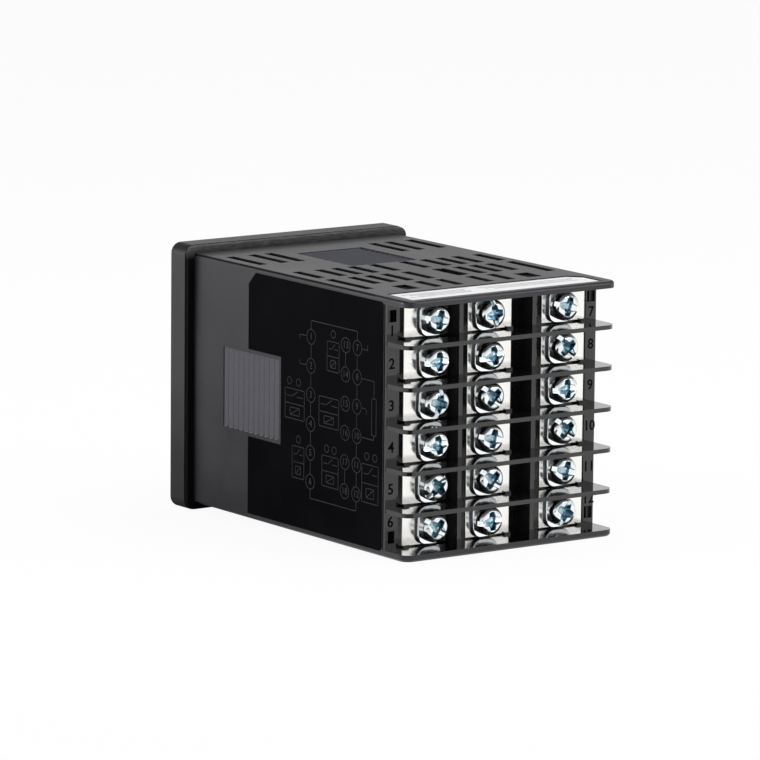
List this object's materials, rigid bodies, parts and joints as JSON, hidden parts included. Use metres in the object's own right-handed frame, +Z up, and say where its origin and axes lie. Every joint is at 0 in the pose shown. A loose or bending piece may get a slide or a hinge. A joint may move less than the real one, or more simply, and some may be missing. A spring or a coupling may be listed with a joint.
{
  "type": "digital counter",
  "caption": "Square panel-mount digital counter: bezel with display window and keys, vented black case with ratchet pads, and rear screw terminals between barrier fins.",
  "frame": {"origin": "centre of the gasket's seat on the panel's front face", "axes": "+Z up, +Y into the panel towards the terminals, +X to the right of someone facing the display"},
  "size_m": [0.072, 0.107, 0.072],
  "materials": {
    "bezel_plastic": "fine moulded texture",
    "case_plastic": "fine spark-eroded texture",
    "block_plastic": "smooth moulded black",
    "gasket_rubber": "smooth black rubber",
    "lens_plastic": "smoked acrylic",
    "key_plastic": "satin grey",
    "plate_metal": "tin plated",
    "washer_metal": "bright zinc plated",
    "screw_metal": "bright zinc plated",
    "black_label": "glossy film",
    "white_label": "matt white film",
    "board_green": "solder resist",
    "digit_plastic": "filled digit face",
    "lamp_plastic": "tinted epoxy",
    "switch_plastic": "moulded black",
    "chip_plastic": "moulded epoxy",
    "ferrite": "sintered ferrite",
    "winding_tape": "yellow tape",
    "capacitor_can": "sleeved can",
    "relay_plastic": "blue moulded case"
  },
  "bodies": {
    "housing": {"bezel": "bezel_plastic", "panel_gasket": "gasket_rubber", "display_lens": "lens_plastic", "case": "case_plastic", "terminal_block": "block_plastic", "terminal_plates": "plate_metal", "square_washers": "washer_metal", "terminal_screws": "screw_metal", "side_label": "black_label", "strip_label": "white_label", "display_board": "board_green", "digit_module_count": "digit_plastic", "digit_module_preset": "digit_plastic", "indicator_lamps": "lamp_plastic", "key_switches": "switch_plastic", "controller_chip": "chip_plastic", "board_headers": "chip_plastic", "power_board": "board_green", "output_board": "board_green", "input_board": "board_green", "transformer_core": "ferrite", "transformer_winding": "winding_tape", "smoothing_capacitors": "capacitor_can", "output_relays": "relay_plastic", "input_optocouplers": "chip_plastic"},
    "key_1_body": {"key_1": "key_plastic", "plunger_1": "switch_plastic"},
    "key_2_body": {"key_2": "key_plastic", "plunger_2": "switch_plastic"},
    "key_3_body": {"key_3": "key_plastic", "plunger_3": "switch_plastic"},
    "key_4_body": {"key_4": "key_plastic", "plunger_4": "switch_plastic"}
  },
  "joints": [
    {"name": "key_1_press", "type": "slide", "parent": "housing", "child": "key_1_body", "axis": [0, 1, 0], "range_m": [0, 0.0006], "stiffness_N_per_m": 2500},
    {"name": "key_2_press", "type": "slide", "parent": "housing", "child": "key_2_body", "axis": [0, 1, 0], "range_m": [0, 0.0006], "stiffness_N_per_m": 2500},
    {"name": "key_3_press", "type": "slide", "parent": "housing", "child": "key_3_body", "axis": [0, 1, 0], "range_m": [0, 0.0006], "stiffness_N_per_m": 2500},
    {"name": "key_4_press", "type": "slide", "parent": "housing", "child": "key_4_body", "axis": [0, 1, 0], "range_m": [0, 0.0006], "stiffness_N_per_m": 2500}
  ]
}
